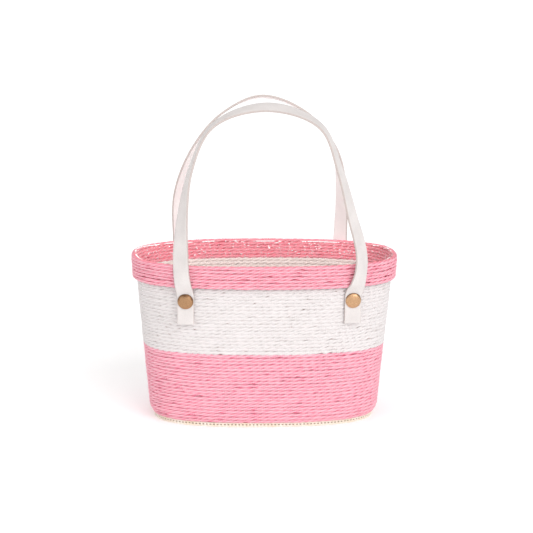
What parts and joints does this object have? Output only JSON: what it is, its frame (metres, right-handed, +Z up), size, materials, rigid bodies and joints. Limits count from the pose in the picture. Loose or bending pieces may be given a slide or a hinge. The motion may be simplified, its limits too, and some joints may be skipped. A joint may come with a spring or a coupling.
{
  "type": "oval carrying basket",
  "caption": "Oval tapered basket coiled from twisted paper rope, with a film liner, a woven base and two riveted strap handles that swing.",
  "frame": {"origin": "centre of the underside of the woven base, on the surface the basket stands on", "axes": "+Z up, +X to the right along the long side of the oval, the front of the basket faces -Y"},
  "size_m": [0.26, 0.158, 0.312],
  "materials": {
    "pink_rope": "matt twisted paper rope",
    "white_rope": "matt twisted paper rope",
    "woven_paper": "matt woven paper cloth",
    "paperboard": "matt greyboard",
    "clear_film": "clear glossy film",
    "strap": "satin faux leather, fine grain",
    "brass": "antique brass, lightly brushed",
    "wire": "plain drawn wire"
  },
  "bodies": {
    "basket": {"base_board": "paperboard", "base_cover": "woven_paper", "lower_pink_coil": "pink_rope", "white_coil": "white_rope", "rim_inner_coil": "pink_rope", "rim_band_coil": "pink_rope", "rim_wire": "wire", "liner": "clear_film", "front_left_strap_end": "strap", "front_right_strap_end": "strap", "rear_left_strap_end": "strap", "rear_right_strap_end": "strap", "front_left_rivet": "brass", "front_right_rivet": "brass", "rear_left_rivet": "brass", "rear_right_rivet": "brass", "front_left_inner_cap": "brass", "front_right_inner_cap": "brass", "rear_left_inner_cap": "brass", "rear_right_inner_cap": "brass"},
    "front_handle": {"front_strap_loop": "strap"},
    "rear_handle": {"rear_strap_loop": "strap"}
  },
  "joints": [
    {"name": "front_handle_swing", "type": "hinge", "parent": "basket", "child": "front_handle", "pos_m": [0, -0.0745, 0.1638], "axis": [1, 0, 0], "range_deg": [-20, 110]},
    {"name": "rear_handle_swing", "type": "hinge", "parent": "basket", "child": "rear_handle", "pos_m": [0, 0.0745, 0.1638], "axis": [-1, 0, 0], "range_deg": [-20, 110]}
  ]
}
